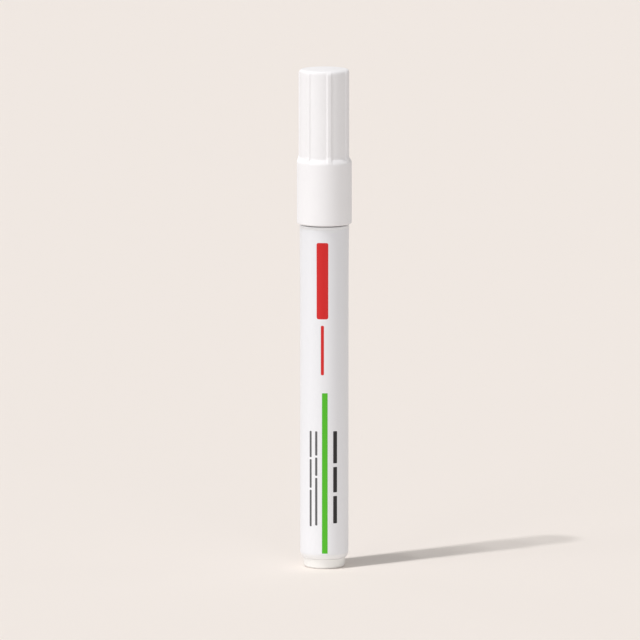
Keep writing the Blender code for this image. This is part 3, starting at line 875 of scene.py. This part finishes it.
def felt():
    """Bonded fibres that run along the tip."""
    material, tree, shader, position = new_material("bonded felt")
    stretched = add_node(tree, "ShaderNodeMapping", {"Vector": position, "Scale": FIBRE_SCALE})
    fibres = add_node(tree, "ShaderNodeTexNoise", {
        "Vector": stretched.outputs["Vector"], "Scale": 1.0, "Detail": FIBRE_DETAIL,
    }).outputs["Fac"]
    colour = add_mix(tree, add_range(tree, fibres, *FIBRES), FELT_SHADE, FELT_LIGHT)
    rough = add_range(tree, fibres, 0.0, 1.0, *FELT_ROUGHNESS)
    tree.links.new(colour, shader.inputs["Base Color"])
    tree.links.new(rough, shader.inputs["Roughness"])
    shader.inputs["Sheen Weight"].default_value = FELT_SHEEN
    add_bump(tree, shader, fibres, FIBRE_DEPTH)
    return material


def streaked(name, scale, detail, shade, light, roughness):
    """A material whose colour and roughness change with fine streaks, and its streaks."""
    material, tree, shader, position = new_material(name)
    streaks = add_node(tree, "ShaderNodeTexNoise", {
        "Vector": position, "Scale": scale, "Detail": detail,
    }).outputs["Fac"]
    colour = add_mix(tree, streaks, shade, light)
    rough = add_range(tree, streaks, 0.0, 1.0, *roughness)
    tree.links.new(colour, shader.inputs["Base Color"])
    tree.links.new(rough, shader.inputs["Roughness"])
    return material, tree, shader, streaks


def spring_wire():
    """Drawn wire, with fine streaks."""
    material, tree, shader, streaks = streaked(
        "spring wire", DRAWN_SCALE, DRAWN_DETAIL, STEEL_SHADE, STEEL_LIGHT, STEEL_ROUGHNESS
    )
    shader.inputs["Metallic"].default_value = 1.0
    add_bump(tree, shader, streaks, DRAWN_DEPTH)
    return material


def clear_primer():
    """A thin clear liquid, with slight streaks where it is thicker."""
    material, _, shader, _ = streaked(
        "clear primer", PRIMER_SCALE, PRIMER_DETAIL, PRIMER_TINT, PRIMER_PALE, PRIMER_ROUGHNESS
    )
    shader.inputs["Transmission Weight"].default_value = 1.0
    shader.inputs["IOR"].default_value = PRIMER_IOR
    return material


def elastic(name):
    """A matt elastic piece, with the small cells or grain of its surface, and painted shade in
    the sunken middle of each cell.
    """
    colour, shade, scale, depth = ELASTICS[name]
    material, tree, shader, position = new_material(name)
    cells = add_node(tree, "ShaderNodeTexVoronoi", {
        "Vector": position, "Scale": scale,
    }).outputs["Distance"]
    share = add_range(tree, cells, 0.0, CELL_REACH)
    rough = add_range(tree, cells, 0.0, CELL_REACH, *CELL_ROUGHNESS)
    # painted shade: the colour darkens towards the middle of each cell, where the bump sinks the
    # surface into a pit
    tree.links.new(add_mix(tree, share, shade, colour), shader.inputs["Base Color"])
    tree.links.new(rough, shader.inputs["Roughness"])
    add_bump(tree, shader, cells, depth)
    return material


def dress_node(node, material):
    """Gives a node of the frame that stays in view its material."""
    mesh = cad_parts[node].data
    mesh.materials.clear()
    mesh.materials.append(material)


# Stage

def build_floor():
    """A pale floor. What lies far from the pen lights it less, as past the edge of a table."""
    work = bmesh.new()
    bmesh.ops.create_grid(work, x_segments=1, y_segments=1, size=FLOOR_HALF)
    mesh = bpy.data.meshes.new("floor")
    work.to_mesh(mesh)
    work.free()
    floor = bpy.data.objects.new("floor", mesh)
    bpy.context.scene.collection.objects.link(floor)
    material, tree, shader, position = new_material("pale floor")
    away = add_node(tree, "ShaderNodeVectorMath", {0: position}, operation="LENGTH")
    far = add_range(tree, away.outputs["Value"], FLOOR_NEAR, FLOOR_FAR)
    bounce = add_node(tree, "ShaderNodeLightPath").outputs["Is Diffuse Ray"]
    dimmed = add_math(tree, "MULTIPLY", far, bounce)
    colour = add_mix(tree, dimmed, FLOOR_COLOUR, FLOOR_DIM)
    tree.links.new(colour, shader.inputs["Base Color"])
    shader.inputs["Roughness"].default_value = 1.0
    shader.inputs["Specular IOR Level"].default_value = 0.0
    mesh.materials.append(material)


def build_lamp(name, turn, elevation, strength, width):
    """A sun lamp that shines from a turn and an elevation."""
    lamp = bpy.data.lights.new(name, "SUN")
    lamp.energy = strength
    lamp.angle = math.radians(width)
    sun = bpy.data.objects.new(name, lamp)
    bpy.context.scene.collection.objects.link(sun)
    around, up = math.radians(turn), math.radians(elevation)
    level = math.cos(up)
    towards = Vector((math.sin(around) * level, -math.cos(around) * level, math.sin(up)))
    sun.rotation_euler = (-towards).to_track_quat("-Z", "Y").to_euler()
    sun.location = towards


def build_world():
    """Even light on the pen, and the backdrop for camera, reflections and clear pieces."""
    world = bpy.data.worlds.new("studio")
    world.use_nodes = True
    tree = world.node_tree
    backdrop = tree.nodes["Background"]
    path = add_node(tree, "ShaderNodeLightPath").outputs
    shiny = add_math(tree, "MAXIMUM", path["Is Glossy Ray"], path["Is Transmission Ray"])
    seen = add_math(tree, "MAXIMUM", shiny, path["Is Camera Ray"])
    strength = add_range(tree, seen, 0.0, 1.0, WORLD_STRENGTH, 1.0)
    tree.links.new(add_mix(tree, seen, WORLD_COLOUR, BACKDROP), backdrop.inputs["Color"])
    tree.links.new(strength, backdrop.inputs["Strength"])
    bpy.context.scene.world = world


def build_camera():
    camera = bpy.data.cameras.new("camera")
    camera.lens = CAMERA_LENS
    camera.sensor_width = SENSOR_WIDTH
    view = bpy.data.objects.new("camera", camera)
    bpy.context.scene.collection.objects.link(view)
    view.location = (VIEW_SIDE, -CAMERA_BACK, CAMERA_HEIGHT)
    aim = Vector((VIEW_SIDE, 0, VIEW_HEIGHT)) - view.location
    view.rotation_euler = aim.to_track_quat("-Z", "Y").to_euler()
    bpy.context.scene.camera = view


def main():
    build_cap(moulded_plastic("cap plastic"))
    build_liner(moulded_plastic("liner plastic"))
    build_barrel(moulded_plastic("barrel plastic"))
    build_label(label_film())
    build_end_plug(moulded_plastic("foot plastic"))
    build_nose(moulded_plastic("nose plastic"))
    build_nib(felt())
    dress_node("valve_housing", moulded_plastic("valve plastic"))
    dress_node("valve_stem", moulded_plastic("stem plastic"))
    dress_node("flange_gasket", elastic("gasket foam"))
    dress_node("valve_seal", elastic("seal rubber"))
    build_spring(spring_wire())
    dress_node("primer_fluid", clear_primer())
    build_floor()
    for lamp in LAMPS:
        build_lamp(*lamp)
    build_world()
    build_camera()
    bpy.context.scene.view_settings.view_transform = "Standard"


main()
